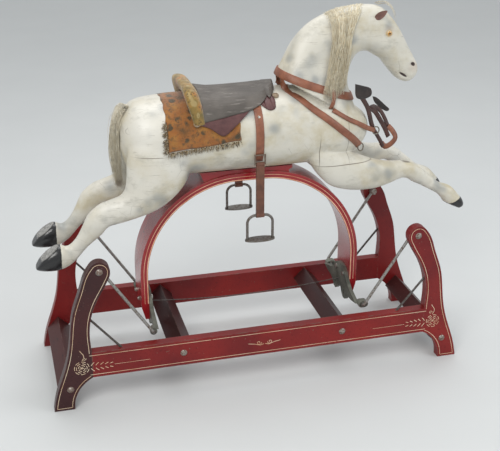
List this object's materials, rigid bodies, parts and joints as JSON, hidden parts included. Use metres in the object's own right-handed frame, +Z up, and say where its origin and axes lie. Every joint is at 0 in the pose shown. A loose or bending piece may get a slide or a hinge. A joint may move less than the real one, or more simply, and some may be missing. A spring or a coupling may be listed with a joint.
{
  "type": "rocking horse on a swing stand",
  "caption": "Antique carved and dapple painted rocking horse that swings on iron hangers from a red safety stand.",
  "frame": {"origin": "floor level under the middle of the stand", "axes": "+X towards the horse's head, +Y to the horse's left, +Z up"},
  "size_m": [1.161, 0.376, 0.9834],
  "materials": {
    "painted_side_frame": "aged dark red oil paint on wood, cream lines, worn arrises",
    "painted_cross_bar": "dark brown red stained beech, worn arrises",
    "steel_fasteners": "dull steel with brown rust film",
    "iron_wire": "dark drawn iron",
    "iron_hangers": "drawn steel, brown tinge",
    "cast_iron": "grey green cast iron",
    "red_bow_paint": "glossy dark red paint on bent wood",
    "dapple_paint": "aged cream white gesso and paint with grey dapples",
    "ear_leather": "painted hide outside, brown pink inside",
    "eye_glass": "amber and black glass",
    "mane_hair": "blond horse hair",
    "tail_hair": "cream grey horse hair",
    "carpet_cloth": "orange patterned carpet with fringe",
    "floral_cloth": "faded ochre floral cloth",
    "seat_leather": "worn grey leather",
    "harness_leather": "dark red brown leather",
    "black_leather": "black leather",
    "tan_leather": "orange brown leather",
    "stirrup_iron": "dark steel"
  },
  "bodies": {
    "stand": {"front_right_post": "painted_side_frame", "front_left_post": "painted_side_frame", "rear_right_post": "painted_side_frame", "rear_left_post": "painted_side_frame", "right_rail": "painted_side_frame", "left_rail": "painted_side_frame", "rear_end_bar": "painted_cross_bar", "rear_inner_bar": "painted_cross_bar", "front_inner_bar": "painted_cross_bar", "front_end_bar": "painted_cross_bar", "cross_bar_bolts": "steel_fasteners", "braces": "iron_wire", "pivot_bolts": "steel_fasteners", "pivot_washers": "steel_fasteners", "pivot_nuts": "steel_fasteners"},
    "rear_hangers": {"rear_right_hanger": "iron_hangers", "rear_left_hanger": "iron_hangers", "rear_split_pins": "iron_hangers"},
    "horse": {"front_yoke": "cast_iron", "rear_yoke": "cast_iron", "yoke_bolts": "steel_fasteners", "yoke_nuts": "steel_fasteners", "bow": "red_bow_paint", "bow_block": "red_bow_paint", "bow_screws": "steel_fasteners", "tie_wire": "iron_wire", "horse_trunk": "dapple_paint", "glass_eyes": "eye_glass", "horse_neck_and_head": "dapple_paint", "right_foreleg": "dapple_paint", "left_foreleg": "dapple_paint", "right_hind_leg": "dapple_paint", "left_hind_leg": "dapple_paint", "ears": "ear_leather", "mane": "mane_hair", "tail": "tail_hair", "saddle_cloth": "carpet_cloth", "cantle_roll": "floral_cloth", "saddle_seat": "seat_leather", "right_saddle_flap": "harness_leather", "left_saddle_flap": "harness_leather", "neck_strap": "harness_leather", "right_breast_strap": "harness_leather", "left_breast_strap": "harness_leather", "blinkers": "black_leather", "bridle_noseband": "tan_leather", "bridle_straps": "harness_leather", "harness_rings": "stirrup_iron", "saddle_rosettes": "tan_leather", "flank_straps": "tan_leather", "stirrup_buckles": "stirrup_iron"},
    "front_hangers": {"front_right_hanger": "iron_hangers", "front_left_hanger": "iron_hangers", "front_split_pins": "iron_hangers"},
    "right_leather": {"right_stirrup_leather": "tan_leather"},
    "right_stirrup": {"right_stirrup": "stirrup_iron"},
    "left_leather": {"left_stirrup_leather": "tan_leather"},
    "left_stirrup": {"left_stirrup": "stirrup_iron"}
  },
  "joints": [
    {"name": "rear_hanger_swing", "type": "hinge", "parent": "stand", "child": "rear_hangers", "pos_m": [-0.423, 0, 0.383], "axis": [0, 1, 0], "range_deg": [-12, 12]},
    {"name": "horse_rock", "type": "hinge", "parent": "rear_hangers", "child": "horse", "pos_m": [-0.288, 0, 0.175], "axis": [0, 1, 0], "range_deg": [-17.6, 17.6]},
    {"name": "front_hanger_swing", "type": "hinge", "parent": "stand", "child": "front_hangers", "pos_m": [0.423, 0, 0.383], "axis": [0, 1, 0], "range_deg": [-12.1, 12.1]},
    {"name": "right_leather_swing", "type": "hinge", "parent": "horse", "child": "right_leather", "pos_m": [0.006, -0.11114, 0.6], "axis": [-1, 0, 0], "range_deg": [0, 60]},
    {"name": "right_stirrup_swing", "type": "hinge", "parent": "right_leather", "child": "right_stirrup", "pos_m": [0.006, -0.11114, 0.46], "axis": [-1, 0, 0], "range_deg": [-20, 40]},
    {"name": "left_leather_swing", "type": "hinge", "parent": "horse", "child": "left_leather", "pos_m": [0.006, 0.11114, 0.6], "axis": [1, 0, 0], "range_deg": [0, 60]},
    {"name": "left_stirrup_swing", "type": "hinge", "parent": "left_leather", "child": "left_stirrup", "pos_m": [0.006, 0.11114, 0.46], "axis": [1, 0, 0], "range_deg": [-20, 40]}
  ],
  "couplings": [
    {"joint": "horse_rock", "follows": "rear_hanger_swing", "ratio": -1.4593},
    {"joint": "front_hanger_swing", "follows": "rear_hanger_swing", "ratio": 1}
  ]
}
